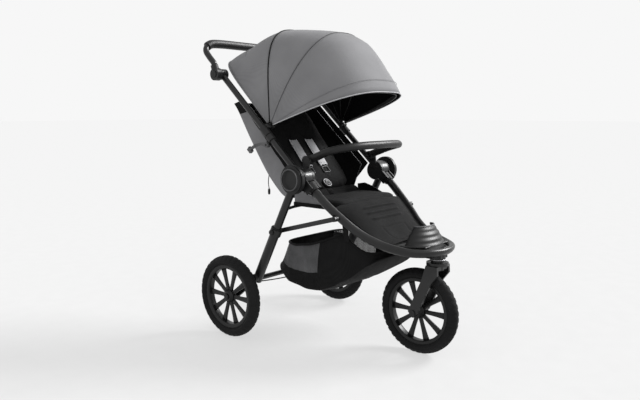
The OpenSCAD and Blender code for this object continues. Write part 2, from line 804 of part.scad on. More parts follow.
// Rim, spokes and hub of a wheel, with its axis along X
module rim(r_out, half, hub_half, hub_r, lip) {
    tyre_seat = r_out - tyre_depth;
    difference() {
        union() {
            rotate([0, 90, 0]) {
                rotate_extrude($fn = 72) polygon([
                    [rim_inner_r, -lip], [rim_inner_r - 2, -lip + 3], [rim_inner_r - 2, lip - 3],
                    [rim_inner_r, lip], [tyre_seat + 2, lip], [tyre_seat - 1, lip - 4],
                    [tyre_seat - 1, 4 - lip], [tyre_seat + 2, -lip]]);
                translate([0, 0, -hub_half]) cylinder(h = 2 * hub_half, r = hub_r);
                for (k = [0:spokes - 1]) rotate(360 * k / spokes) translate([0, 0, -5])
                    linear_extrude(10) polygon([[hub_r - 4, -5], [rim_inner_r + 1, -9],
                                                [rim_inner_r + 1, 9], [hub_r - 4, 5]]);
            }
        }
        rotate([0, 90, 0]) translate([0, 0, -hub_half - 1])
            cylinder(h = 2 * hub_half + 2, r = axle_r + run_gap);
    }
}

module tyre(r_out, half, lip) {
    seat = r_out - tyre_depth;
    rotate([0, 90, 0]) rotate_extrude($fn = 72) difference() {
        polygon([[seat + 2, -lip], [seat + 10, -half + 2], [seat + 18, -half],
                 [r_out - 9, -half + 5], [r_out - 2, -half + 13], [r_out, -4], [r_out, 4],
                 [r_out - 2, half - 13], [r_out - 9, half - 5], [seat + 18, half],
                 [seat + 10, half - 2], [seat + 2, lip], [seat - 1 + fit_gap, lip - 4],
                 [seat - 1 + fit_gap, 4 - lip]]);
    }
}

rim_lip = 14;
module rear_wheel_place(side) translate([side * rear_wheel_x, rear_axle_y, wheel_r]) children();
module rear_rim(side) color([0.1, 0.1, 0.1]) rear_wheel_place(side)
    rim(wheel_r, tyre_w / 2, rear_hub_half, 24, rim_lip);
module rear_tyre(side) color([0.05, 0.05, 0.05]) rear_wheel_place(side)
    tyre(wheel_r, tyre_w / 2, rim_lip);
module front_rim() color([0.1, 0.1, 0.1]) translate([0, front_axle_y, front_wheel_r])
    rim(front_wheel_r, tyre_w / 2, fork_leg_x - fork_leg_t / 2 - gap, 24, rim_lip);
module front_tyre() color([0.05, 0.05, 0.05]) translate([0, front_axle_y, front_wheel_r])
    tyre(front_wheel_r, tyre_w / 2, rim_lip);

// ---------------------------------------------------------------------- fork

module fork() {
    axle = [front_axle_y, front_wheel_r];
    crown_z = steer_z - 34;
    color([0.12, 0.12, 0.13]) difference() {
        union() {
            translate([0, steer_y, crown_z]) cylinder(h = steer_z - fit_gap - crown_z, r = 22);
            translate([0, steer_y, crown_z]) cylinder(h = 60, r = stem_r);
            translate([0, steer_y, crown_z + 16]) cylinder(h = 10, r = lock_r + 6);
            for (side = [side_left, side_right]) {
                plate(side, fork_leg_x - fork_leg_t / 2, fork_leg_x + fork_leg_t / 2)
                    polygon([[steer_y - 22, crown_z + 16], [steer_y + 20, crown_z + 18],
                             [steer_y + 34, crown_z - 30], axle + [18, 4], axle + [0, -16],
                             axle + [-17, 0], [steer_y - 2, crown_z - 40],
                             [steer_y - 24, crown_z - 12]]);
            }
            translate([-fork_leg_x, steer_y - 20, crown_z + 2])
                cube([2 * fork_leg_x, 40, 14]);
        }
        for (side = [side_left, side_right])
            disc(side, fork_leg_x - fork_leg_t, fork_leg_x + fork_leg_t, axle_r + 0.05, axle);
        translate([0, steer_y, crown_z + 13]) for (k = [0:3]) rotate(90 * k)
            translate([lock_r, 0, 0]) cylinder(h = 14, r = 4.4);
    }
}

module front_axle() {
    axle = [front_axle_y, front_wheel_r];
    color([0.6, 0.6, 0.6]) {
        disc(1, -fork_leg_x - 8, fork_leg_x + 8, axle_r, axle);
        for (side = [side_left, side_right])
            disc(side, fork_leg_x + fork_leg_t / 2, fork_leg_x + 8, 11, axle);
    }
}

// Pin behind the steerer housing that drops into the crown and stops the swivel
module swivel_lock() {
    color([0.2, 0.2, 0.2]) {
        translate([0, steer_y + lock_r, steer_z - 1]) cylinder(h = 24, r = 4);
        translate([-10, steer_y + lock_r - 4.4, steer_z + 22]) cube([20, 14, 5]);
    }
}

placed() front_frame();
placed() hub_body(side_left);  // hub_left
placed() hub_body(side_right);  // hub_right
placed() hub_cap(side_left);  // hub_cap_left
placed() hub_cap(side_right);  // hub_cap_right
placed() steerer_housing();
placed() footrest();
placed() calf_panel();
placed() seat_cushion();
placed() seat_hoop();
placed() link_mounts();
placed() lower_links();
placed() bar_mount(side_left);  // bar_mount_left
placed() bar_mount(side_right);  // bar_mount_right
placed() belly_bar();
placed() basket();
placed() crotch_strap();
placed() buckle();
placed() buckle_button();
placed() upper_tube(side_left);  // upper_tube_left
placed() upper_tube(side_right);  // upper_tube_right
placed() canopy_pins();
placed() canopy_rear();
placed() canopy_mid();
placed() canopy_front();
placed() canopy_rib_rear();
placed() canopy_rib_mid();
placed() canopy_rib_front();
placed() backrest_board();
placed() backrest_pad();
placed() seat_shell();
placed() shoulder_straps();
placed() shoulder_pads();
placed() recline_strap();
placed() recline_toggle();
placed() brake_bracket();
placed() brake_lever();
placed() brake_cable();
placed() handlebar();
placed() handle_grip();
placed() handle_knuckle(side_left);  // handle_knuckle_left
placed() handle_knuckle(side_right);  // handle_knuckle_right
placed() handle_button(side_left);  // handle_button_left
placed() handle_button(side_right);  // handle_button_right
placed() rear_leg(side_left);  // rear_leg_left
placed() rear_leg(side_right);  // rear_leg_right
placed() axle_bar();
placed() leg_collars();
placed() swing_arm(side_left);  // swing_arm_left
placed() swing_arm(side_right);  // swing_arm_right
placed() rear_rim(side_left);  // rear_rim_left
placed() rear_rim(side_right);  // rear_rim_right
placed() rear_tyre(side_left);  // rear_tyre_left
placed() rear_tyre(side_right);  // rear_tyre_right
placed() fork();
placed() front_axle();
placed() front_rim();
placed() front_tyre();
placed() swivel_lock();
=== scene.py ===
"""Looks of a three-wheeled folding baby stroller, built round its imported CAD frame.

Lengths below are millimetres in the CAD source's own axes, measured from the
middle of the wheelbase; P() turns them into metres in the shared frame.
"""

import math

import bpy
from mathutils import Matrix, Vector, noise


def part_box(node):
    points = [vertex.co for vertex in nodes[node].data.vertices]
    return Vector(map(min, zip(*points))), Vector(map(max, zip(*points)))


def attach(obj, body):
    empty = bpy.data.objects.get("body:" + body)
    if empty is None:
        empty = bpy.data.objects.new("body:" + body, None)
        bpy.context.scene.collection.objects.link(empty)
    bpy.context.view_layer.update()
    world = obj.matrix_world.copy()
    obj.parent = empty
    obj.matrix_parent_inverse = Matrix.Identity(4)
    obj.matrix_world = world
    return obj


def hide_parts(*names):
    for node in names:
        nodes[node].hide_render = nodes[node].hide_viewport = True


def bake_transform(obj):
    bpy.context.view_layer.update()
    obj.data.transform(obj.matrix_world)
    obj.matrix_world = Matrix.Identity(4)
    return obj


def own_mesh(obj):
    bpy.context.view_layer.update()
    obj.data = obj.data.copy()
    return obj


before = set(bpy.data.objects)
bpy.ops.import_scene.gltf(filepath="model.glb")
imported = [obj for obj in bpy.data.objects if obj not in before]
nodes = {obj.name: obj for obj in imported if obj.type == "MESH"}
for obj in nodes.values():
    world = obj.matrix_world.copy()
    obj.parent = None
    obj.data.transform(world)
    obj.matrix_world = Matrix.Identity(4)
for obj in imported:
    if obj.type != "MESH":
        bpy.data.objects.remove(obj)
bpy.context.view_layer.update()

# ------------------------------------------------------------------ places
lo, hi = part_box("rear_tyre_left")
CENTRE_Y = (lo.y + hi.y) / 2 - 0.309
HUB = (25, 595)
CREASE, BACK_ANGLE = (95, 537), 50
CANOPY_PIN, CANOPY_HALF, ROOT_R = (194, 770), 206, 16
REAR_HEM, REAR_RIB, MID_RIB, FRONT_RIB = 43, 87, 118, 162
HANDLE_PIN, HANDLE_X = (425.034, 957.729), 250.5
BAR_PIN, ARM_PIN = (34, 655), (212.952, 226.123)
SIDES = (1, -1)


def P(x, y, z):
    return Vector((x / 1000, y / 1000 + CENTRE_Y, z / 1000))


def along(s, angle):
    a = math.radians(angle)
    return HUB[0] + s * math.cos(a), HUB[1] + s * math.sin(a)


def upper_at(s, dy=0, dz=0):
    y, z = along(s, 42.2)
    return y + dy, z + dz


def leg_at(s):
    return along(s, -63)


def front_dir(s):
    a = math.radians(42)
    return (HUB[0] - s * math.cos(a) - 7 * math.sin(a),
            HUB[1] - s * math.sin(a) + 7 * math.cos(a))


def back_at(s, depth):
    a = math.radians(BACK_ANGLE)
    return (CREASE[0] + s * math.cos(a) + depth * math.sin(a),
            CREASE[1] + s * math.sin(a) - depth * math.cos(a))


def lookup(x, table):
    if x <= table[0][0]:
        return table[0][1]
    for (x0, y0), (x1, y1) in zip(table, table[1:]):
        if x <= x1:
            return y0 + (y1 - y0) * (x - x0) / (x1 - x0)
    return table[-1][1]


# ------------------------------------------------------------------ camera
AIM, DIP = math.radians(49.41), math.radians(7.888)
camera = bpy.data.objects.new("camera", bpy.data.cameras.new("camera"))
camera.data.sensor_width, camera.data.lens = 36, 35.594
camera.location = (-1.8071, -1.4356, 0.8183)
looks = Vector((math.sin(AIM) * math.cos(DIP), math.cos(AIM) * math.cos(DIP), -math.sin(DIP)))
camera.rotation_euler = looks.to_track_quat("-Z", "Y").to_euler()
bpy.context.scene.collection.objects.link(camera)
bpy.context.scene.camera = camera


# --------------------------------------------------------------- materials
def surface(name, dark, light, rough, pattern="grain", scale=400, height=0.2, depth=0.0004,
            metallic=0.0, coat=0.0, sheen=0.0, wear=0.0, spread=14, weave=0.0, net=False, gloss=0.3):
    """A procedural finish: two tints mixed by noise, its own relief, and lighter worn edges."""
    m = bpy.data.materials.new(name)
    m.use_nodes = True
    tree = m.node_tree
    new, link = tree.nodes.new, tree.links.new
    shader = tree.nodes["Principled BSDF"]
    shader.inputs["Metallic"].default_value = metallic
    shader.inputs["Coat Weight"].default_value = coat
    shader.inputs["Coat Roughness"].default_value = 0.25
    shader.inputs["Sheen Weight"].default_value = sheen
    shader.inputs["Sheen Roughness"].default_value = 0.5
    shader.inputs["Specular IOR Level"].default_value = gloss
    place = new("ShaderNodeTexCoord").outputs["Object"]

    def cloud(size, detail):
        n = new("ShaderNodeTexNoise")
        n.inputs["Scale"].default_value = size
        n.inputs["Detail"].default_value = detail
        link(place, n.inputs["Vector"])
        return n.outputs["Fac"]

    def sums(kind, a, b):
        n = new("ShaderNodeMath")
        n.operation = kind
        for k, v in enumerate((a, b)):
            if isinstance(v, (int, float)):
                n.inputs[k].default_value = v
            else:
                link(v, n.inputs[k])
        return n.outputs[0]

    def bands(way, size):
        n = new("ShaderNodeTexWave")
        n.bands_direction = way
        n.inputs["Scale"].default_value = size
        n.inputs["Distortion"].default_value = 0.4
        link(place, n.inputs["Vector"])
        return n.outputs["Fac"]

    if pattern == "weave":
        relief = sums("ADD", sums("MULTIPLY", bands("X", scale), bands("Z", scale)),
                      sums("MULTIPLY", bands("Y", scale), 0.5))
    elif pattern == "leather":
        v = new("ShaderNodeTexVoronoi")
        v.inputs["Scale"].default_value = scale
        link(place, v.inputs["Vector"])
        relief = v.outputs["Distance"]
    else:
        relief = cloud(scale, 3)
    mottled = sums("ADD", sums("MULTIPLY", cloud(spread, 4), 1 - weave),
                   sums("MULTIPLY", relief, weave))
    ramp = new("ShaderNodeValToRGB")
    ramp.color_ramp.elements[0].position, ramp.color_ramp.elements[1].position = 0.3, 0.7
    ramp.color_ramp.elements[0].color = (*dark, 1)
    ramp.color_ramp.elements[1].color = (*light, 1)
    link(mottled, ramp.inputs["Fac"])
    colour = ramp.outputs["Color"]
    if wear:
        edge = new("ShaderNodeMapRange")
        edge.inputs["From Min"].default_value, edge.inputs["From Max"].default_value = 0.53, 0.62
        edge.inputs["To Max"].default_value = wear
        link(new("ShaderNodeNewGeometry").outputs["Pointiness"], edge.inputs["Value"])
        mix = new("ShaderNodeMix")
        mix.data_type = "RGBA"
        link(edge.outputs["Result"], mix.inputs["Factor"])
        link(colour, mix.inputs["A"])
        mix.inputs["B"].default_value = (*[min(1, 4 * c + 0.03) for c in light], 1)
        colour = mix.outputs["Result"]
    link(colour, shader.inputs["Base Color"])
    span = new("ShaderNodeMapRange")
    span.inputs["To Min"].default_value = rough - 0.06
    span.inputs["To Max"].default_value = rough + 0.08
    link(cloud(spread * 3, 3), span.inputs["Value"])
    link(span.outputs["Result"], shader.inputs["Roughness"])
    bump = new("ShaderNodeBump")
    bump.inputs["Strength"].default_value = height
    bump.inputs["Distance"].default_value = depth
    link(relief, bump.inputs["Height"])
    link(bump.outputs["Normal"], shader.inputs["Normal"])
    if net:
        strands = sums("MAXIMUM", bands("Y", 96), bands("Z", 96))
        link(sums("GREATER_THAN", strands, 0.66), shader.inputs["Alpha"])
    return m


def grey(v):
    return v, v, v * 1.03


FRAME = surface("satin_tube", grey(0.0035), grey(0.007), 0.34, "grain", 900, 0.12, 0.0002,
                coat=0.06, wear=0.12, gloss=0.35)
PLASTIC = surface("moulded_plastic", grey(0.0035), grey(0.0065), 0.48, "grain", 700, 0.35,
                  0.0003, wear=0.15, gloss=0.28)
CAP = surface("cap_plastic", grey(0.004), grey(0.007), 0.42, "grain", 800, 0.25, 0.0002,
              wear=0.15, gloss=0.28)
RING = surface("ring_plastic", grey(0.045), grey(0.075), 0.42, "grain", 800, 0.2, 0.0002)
TYRE = surface("tyre_rubber", grey(0.0045), grey(0.009), 0.8, "grain", 350, 0.5, 0.0006,
               spread=9, wear=0.15, gloss=0.18)
RIM = surface("rim_plastic", grey(0.0035), grey(0.0065), 0.38, "grain", 600, 0.2, 0.0002,
              wear=0.12, gloss=0.28)
GREY = surface("grey_canvas", grey(0.145), grey(0.195), 0.86, "weave", 230, 0.3, 0.0004,
               sheen=0.06, spread=6, weave=0.16, gloss=0.15)
LINING = surface("black_lining", grey(0.0025), grey(0.005), 0.9, "weave", 260, 0.4, 0.0004,
                 weave=0.3, gloss=0.06)
BLACK = surface("black_canvas", grey(0.0035), grey(0.0075), 0.86, "weave", 210, 0.55, 0.0006,
                sheen=0.02, weave=0.35, gloss=0.12)
PAD = surface("pad_cloth", grey(0.34), grey(0.46), 0.88, "weave", 240, 0.5, 0.0006,
              sheen=0.1, weave=0.3, gloss=0.15)
PIPING = surface("piping_cloth", grey(0.55), grey(0.70), 0.8, "weave", 300, 0.3, 0.0004,
                 weave=0.2, gloss=0.15)
SEAM = surface("seam_cloth", grey(0.055), grey(0.09), 0.85, "weave", 300, 0.3, 0.0004,
               weave=0.2, gloss=0.1)
WEB = surface("webbing", grey(0.003), grey(0.008), 0.75, "weave", 330, 0.8, 0.0005,
              weave=0.5, gloss=0.12)
NET = surface("basket_net", grey(0.075), grey(0.13), 0.8, "weave", 120, 0.5, 0.0005, net=True, gloss=0.1)
GRIP = surface("wrapped_grip", grey(0.0045), grey(0.009), 0.45, "leather", 420, 0.5, 0.0005, gloss=0.3)
STEEL = surface("brushed_steel", grey(0.42), grey(0.58), 0.32, "grain", 900, 0.2, 0.0002,
                metallic=1.0, gloss=0.5)
LEVER = surface("lever_plastic", grey(0.03), grey(0.05), 0.45, "grain", 600, 0.3, 0.0003, wear=0.2)


# ---------------------------------------------------------------- geometry
def piece(name, verts, faces, mats, body=None, slot=None, replaces=(), smooth=True, pick=None):
    mesh = bpy.data.meshes.new(name)
    mesh.from_pydata([tuple(v) for v in verts], [], faces)
    mesh.update()
    for m in mats if isinstance(mats, (list, tuple)) else [mats]:
        mesh.materials.append(m)
    for f in mesh.polygons:
        f.use_smooth = smooth
        if pick:
            f.material_index = pick(f.index)
    o = bpy.data.objects.new(name, mesh)
    bpy.context.scene.collection.objects.link(o)
    if body:
        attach(o, body)
    if replaces:
        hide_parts(*replaces)
    return o


def grid(rows, round_rows=False, round_cols=False, base=0):
    n, m = len(rows), len(rows[0])
    faces = []
    for i in range(n if round_rows else n - 1):
        for j in range(m if round_cols else m - 1):
            i1, j1 = (i + 1) % n, (j + 1) % m
            faces.append((base + i * m + j, base + i * m + j1, base + i1 * m + j1, base + i1 * m + j))
    return [v for r in rows for v in r], faces


def add(parts, verts, faces):
    """Joins a lump onto the parts list [verts, faces]."""
    k = len(parts[0])
    parts[0] += list(verts)
    parts[1] += [tuple(i + k for i in f) for f in faces]


def modifier(o, kind, **settings):
    m = o.modifiers.new(kind.lower(), kind)
    for k, v in settings.items():
        setattr(m, k, v)
    return m


def apply_all(o):
    graph = bpy.context.evaluated_depsgraph_get()
    graph.update()
    made = bpy.data.meshes.new_from_object(o.evaluated_get(graph))
    o.modifiers.clear()
    o.data = made
    return o


def spline(p, steps):
    p = [Vector(q) for q in p]
    out = []
    for i in range(len(p) - 1):
        a, b, c, d = p[max(i - 1, 0)], p[i], p[i + 1], p[min(i + 2, len(p) - 1)]
        for k in range(steps + (i == len(p) - 2)):
            t = k / steps
            out.append(0.5 * (2 * b + (c - a) * t + (2 * a - 5 * b + 4 * c - d) * t * t
                              + (3 * b - a - 3 * c + d) * t ** 3))
    return out


def whole(half):
    return list(half) + [(-q[0], q[1], q[2]) for q in reversed(half[:-1])]


def sweep(points, r, up, sides=28, up_r=None, swell=None):
    """Closed tube of verts and faces along points in metres."""
    up, rise, rows = Vector(up), up_r or r, []
    for i, q in enumerate(points):
        t = (points[min(i + 1, len(points) - 1)] - points[max(i - 1, 0)]).normalized()
        u = t.cross(up).normalized()
        v = t.cross(u)
        f = swell(i / (len(points) - 1)) if swell else 1
        rows.append([q + u * (r * f * math.cos(a)) + v * (rise * f * math.sin(a))
                     for a in (2 * math.pi * k / sides for k in range(sides))])
    verts, faces = grid(rows, round_cols=True)
    n = len(verts)
    return verts, faces + [tuple(reversed(range(sides))), tuple(range(n - sides, n))]


def tube(name, line, r, up, mat, body, slot, replaces=(), steps=8, **kw):
    pts = [P(*q) for q in spline(line, steps)]
    verts, faces = sweep(pts, r / 1000, up, up_r=kw.pop("up_r", r) / 1000, **kw)
    return piece(name, verts, faces, mat, body, slot, replaces)


def lathe(profile, centre, segments=64, closed=True):
    """Turns (radius, x) points round the X axis at centre, all in millimetres."""
    rows = []
    for k in range(segments):
        a = 2 * math.pi * k / segments
        rows.append([P(centre[0] + x, centre[1] + r * math.cos(a), centre[2] + r * math.sin(a))
                     for r, x in profile])
    return grid(rows, round_rows=True, round_cols=closed)


# -------------------------------------------------- the free recline strap
STRAP_DROP = 70
top = (-165, *back_at(150, 66.2))
strap_line = [P(top[0] + 2 * math.sin(math.radians(5 * t)), top[1] + 3 * math.sin(math.radians(2.6 * t)) ** 2,
                top[2] - t) for t in range(0, STRAP_DROP + 1, 5)]
curve = bpy.data.curves.new("recline_cord", "CURVE")
curve.dimensions, curve.bevel_depth, curve.bevel_resolution = "3D", 0.0015, 4
curve.use_fill_caps = True
poly = curve.splines.new("POLY")
poly.points.add(len(strap_line) - 1)
for point, q in zip(poly.points, strap_line):
    point.co = (*q, 1)
curve.materials.append(WEB)
recline_cord = bpy.data.objects.new("recline_cord", curve)
bpy.context.scene.collection.objects.link(recline_cord)
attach(recline_cord, "backrest")
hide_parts("recline_strap")

end = strap_line[-1]
rows = []
TOGGLE = ((0, 2.2, 2), (-2, 4.1, 3), (-8, 4.5, 3.5), (-16, 4.4, 3.4), (-20, 4, 3), (-22, 2.6, 2))
for z, half_x, half_y in TOGGLE:
    ring = []
    for k in range(20):
        a = 2 * math.pi * k / 20
        c, s = math.cos(a), math.sin(a)
        ring.append(end + Vector((half_x * math.copysign(abs(c) ** 0.6, c),
                                  half_y * math.copysign(abs(s) ** 0.6, s), z)) / 1000)
    rows.append(ring)
verts, faces = grid(rows, round_cols=True)
toggle = piece("cord_toggle", verts, faces + [tuple(range(20)), tuple(reversed(range(100, 120)))],
               PLASTIC, "backrest", "plastic", ["recline_toggle"])


# ------------------------------------------------------- frame of tubes
FRONT_HALF = [(218, *front_dir(40)), (218, *front_dir(84)), (213, *front_dir(135)),
              (195, -143, 458), (172, -192, 420), (150, -244, 393), (133, -294, 379),
              (112, -342, 371), (78, -381, 369), (38, -399, 368), (0, -404, 368)]
tube("front_loop", whole(FRONT_HALF), 11.5, (0, math.sin(math.radians(42)), -math.cos(math.radians(42))),
     FRAME, "chassis", "frame_tube", ["front_frame"], up_r=15, sides=36)

foot = leg_at(120)
HOOP = [(238.7, *foot), (226, foot[0] + 2, foot[1] + 1), (200, foot[0] + 4, foot[1] + 3),
        (160, foot[0] + 5, foot[1] + 4), (80, foot[0] + 5, foot[1] + 5), (0, foot[0] + 5, foot[1] + 5)]
tube("seat_arch", whole(HOOP), 5, (0, 1, 1), FRAME, "rear_frame", "frame_tube", ["seat_hoop"], sides=20)


def bar_at(h):
    a = math.radians(18)
    return HANDLE_PIN[0] + h * math.sin(a), HANDLE_PIN[1] + h * math.cos(a)


def off_pin(x, dy, dz):
    return x, HANDLE_PIN[0] + dy, HANDLE_PIN[1] + dz


BAR_HALF = [(HANDLE_X, *bar_at(22.3)), (HANDLE_X, *bar_at(34)), (HANDLE_X, *bar_at(44)),
            off_pin(HANDLE_X + 1, 38, 66), off_pin(HANDLE_X, 55, 86), off_pin(HANDLE_X - 10, 62, 104),
            off_pin(HANDLE_X - 34, 63, 115),
            off_pin(HANDLE_X - 85, 62, 118), off_pin(HANDLE_X - 160, 61, 118), off_pin(0, 61, 118)]
tube("push_bar", whole(BAR_HALF), 11, (0, 1, -0.3), FRAME, "handle", "frame_tube", ["handlebar"], sides=32)
GRIP_HALF = BAR_HALF[5:]


def grip_swell(t):
    edge = min(t, 1 - t)
    return 0.86 + 0.14 * min(1, edge / 0.012) + 0.006 * math.cos(t * math.pi * 76)


tube("push_bar_grip", whole(GRIP_HALF), 16, (0, 1, -0.3), GRIP, "handle", "grip", ["handle_grip"],
     sides=36, steps=20, swell=grip_swell)

BELLY = [(174, 24, 660), (175, -12, 673), (175, -50, 687), (168, -88, 697), (142, -120, 703),
         (92, -138, 707), (0, -146, 708)]


def belly_swell(t):
    seam = min(abs(t - 0.12), abs(t - 0.88))
    return 1 - 0.05 * math.exp(-(seam / 0.006) ** 2)


pts = [P(*q) for q in spline(whole(BELLY), 14)]
belly = [[], []]
add(belly, *sweep(pts, 0.0135, (0, 0.3, 1), sides=32, swell=belly_swell))
for s in SIDES:
    profile = [(5.1, s * 166), (14, s * 166), (16, s * 168), (16, s * 186), (14, s * 189), (5.1, s * 189)]
    add(belly, *lathe(profile, (0, *BAR_PIN), 40))
piece("belly_rail", *belly, GRIP, "bar", "grip", ["belly_bar"])

at = leg_at(420)
cable = [P(x / 8 * 238, at[0] - 4, at[1] - 12 - 14 * (1 - (x / 8) ** 2)) for x in range(-8, 9)]
verts, faces = sweep(cable, 0.0022, (0, 1, 0), sides=12)
piece("brake_line", verts, faces, PLASTIC, "rear_frame", "plastic", ["brake_cable"])

# ----------------------------------------------------------------- wheels
TYRE_W = 46
REAR_AXLE, FRONT_AXLE = (309, 150), (-309, 148)      # y and height, which is also the tyre radius
REAR_WHEEL_X, BLADES = 307.5, 10


def tyre_piece(name, centre, r_out, body, node):
    seat, half, knobs, per = r_out - 34, TYRE_W / 2, 40, 6
    side = [(seat + 1, 13), (seat + 5, 17), (seat + 10, half - 2), (seat + 13, half - 0.6),
            (seat + 14.2, half - 1.4), (seat + 18, half - 0.3), (r_out - 11, half - 3.5),
            (r_out - 9, half - 5.2), (r_out - 5, half - 8.5), (r_out - 2.2, half - 12),
            (r_out - 1.2, half - 13.5), (r_out - 0.6, 5.5), (r_out, 4.5), (r_out, 0)]
    profile = side + [(r, -x) for r, x in reversed(side[:-1])]
    rows, total = [], knobs * per
    for k in range(total):
        a, row = 2 * math.pi * k / total, []
        for r, x in profile:
            cut = (k + (per // 2 if x < 0 else 0)) % per >= per - 2
            if cut and r_out - 12 < r and abs(x) > 6:
                r -= 2.6
            row.append(P(centre[0] + x, centre[1] + r * math.cos(a), centre[2] + r * math.sin(a)))
        rows.append(row)
    verts, faces = grid(rows, round_rows=True, round_cols=True)
    return piece(name, verts, faces, TYRE, body, "tyre", [node])


def rim_piece(name, centre, r_out, hub_half, body, node):
    seat = r_out - 34
    parts = [[], []]
    hoop = [(106, -14), (103.5, -12.5), (102.5, -8), (102.5, 8), (103.5, 12.5), (106, 14),
            (seat - 1, 14.4), (seat + 2, 14), (seat + 1.6, 12.6), (seat - 1, 10),
            (seat - 1, -10), (seat + 1.6, -12.6), (seat + 2, -14), (seat - 1, -14.4)]
    middle = [(6.1, -hub_half), (17, -hub_half), (19, -hub_half + 1.5), (20, -9), (23.5, -7), (24, -5),
              (24, 5), (23.5, 7), (20, 9), (19, hub_half - 1.5), (17, hub_half), (6.1, hub_half)]
    add(parts, *lathe(hoop, centre, 120))
    add(parts, *lathe(middle, centre, 48))
    for k in range(BLADES):
        a = 2 * math.pi * k / BLADES
        radial = Vector((0, math.cos(a), math.sin(a)))
        tangent = Vector((0, -math.sin(a), math.cos(a)))
        rows = []
        for t in (0, 0.12, 0.35, 0.6, 0.85, 1):
            r = 20 + t * 84
            w, thick = 5.8 + 4.2 * t + 1.6 * abs(2 * t - 1) ** 3, 5.2 - 1.2 * math.sin(math.pi * t)
            ring = []
            for u, v in ((-1, -0.55), (-0.75, -1), (0, -0.72), (0.75, -1), (1, -0.55),
                         (1, 0.55), (0.75, 1), (0, 0.72), (-0.75, 1), (-1, 0.55)):
                q = Vector(centre) + radial * r + tangent * (u * w) + Vector((v * thick, 0, 0))
                ring.append(P(*q))
            rows.append(ring)
        verts, faces = grid(rows, round_cols=True)
        add(parts, verts, faces + [tuple(reversed(range(10))), tuple(range(50, 60))])
    return piece(name, *parts, RIM, body, "rim", [node])


for side, word in ((1, "left"), (-1, "right")):
    at = (side * REAR_WHEEL_X, *REAR_AXLE)
    tyre_piece(f"tyre_{word}", at, REAR_AXLE[1], f"wheel_{word}", f"rear_tyre_{word}")
    rim_piece(f"wheel_rim_{word}", at, REAR_AXLE[1], 15, f"wheel_{word}", f"rear_rim_{word}")
    x = side * (REAR_WHEEL_X + 19)
    profile = [(0.1, x + side * 2), (7, x + side * 2), (10, x), (11, x - side * 3), (0.1, x - side * 3)]
    verts, faces = lathe(profile, (0, *REAR_AXLE), 36)
    piece(f"axle_cap_{word}", verts, faces, CAP, f"wheel_{word}", "plastic")
tyre_piece("tyre_front", (0, *FRONT_AXLE), FRONT_AXLE[1], "front_wheel", "front_tyre")
rim_piece("wheel_rim_front", (0, *FRONT_AXLE), FRONT_AXLE[1], 32.5, "front_wheel", "front_rim")

# ----------------------------------------------------------------- canopy
ARCH = [(40, 366), (62, 336), (84, 345), (106, 359), (128, 380), (146, 372), (168, 380)]
SQUARE = [(40, 0.3), (84, 0.46), (118, 0.8), (168, 0.64)]


def arch_points(a, inset, count):
    """Points in metres along the canopy's arch at fan angle a, evenly spaced."""
    tall, power, dense = lookup(a, ARCH), lookup(a, SQUARE), []
    for k in range(721):
        u = math.pi * k / 720
        c, s = math.cos(u), abs(math.sin(u))
        dense.append(((CANOPY_HALF - inset) * math.copysign(abs(c) ** power, c),
                      ROOT_R + (tall - inset - ROOT_R) * s ** power))
    runs = [0]
    for p, q in zip(dense, dense[1:]):
        runs.append(runs[-1] + math.dist(p, q))
    out, j, ca, sa = [], 0, math.cos(math.radians(a)), math.sin(math.radians(a))
    for k in range(count + 1):
        want = runs[-1] * k / count
        while j < 719 and runs[j + 1] < want:
            j += 1
        t = (want - runs[j]) / max(runs[j + 1] - runs[j], 1e-9)
        x, r = (dense[j][i] + (dense[j + 1][i] - dense[j][i]) * t for i in (0, 1))
        out.append(P(x, CANOPY_PIN[0] + r * ca, CANOPY_PIN[1] + r * sa))
    return out


def canopy_sheet(name, a0, a1, sag, node, wrinkle=0.0012, steps=14, count=96):
    rows, pin = [], P(0, *CANOPY_PIN)
    for i in range(steps + 1):
        t = i / steps
        row = []
        for k, q in enumerate(arch_points(a0 + (a1 - a0) * t, 0, count)):
            away = q - pin
            away.x *= 0.35
            reach = min(1, math.sin(math.pi * k / count) * 2)
            dip = sag * math.sin(math.pi * t) * reach
            crumple = 0.5 + 0.5 * noise.noise(Vector((q.x * 9, t * 3, q.z * 5)))
            dip += wrinkle * reach * crumple * math.sin(math.pi * t)
            row.append(q - away.normalized() * dip)
        rows.append(row)
    verts, faces = grid(rows)
    o = piece(name, verts, faces, [GREY, LINING])
    modifier(o, "SOLIDIFY", thickness=0.0024, offset=-1, material_offset=1)
    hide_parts(node)
    area = sum(f.area for f in o.data.polygons)
    return o, area, rows


def face_outwards(o, centre):
    """Turns the mesh so that its normals point away from centre."""
    if sum((f.center - centre).dot(f.normal) * f.area for f in o.data.polygons) < 0:
        o.data.flip_normals()


def binding(name, a, r, mat, body, slot, grow=0.0, count=96):
    pts = arch_points(a, -grow, count)
    square = math.radians(a + 90)
    verts, faces = sweep(pts, r, (0, math.cos(square), math.sin(square)), sides=10)
    return piece(name, verts, faces, mat, body, slot)


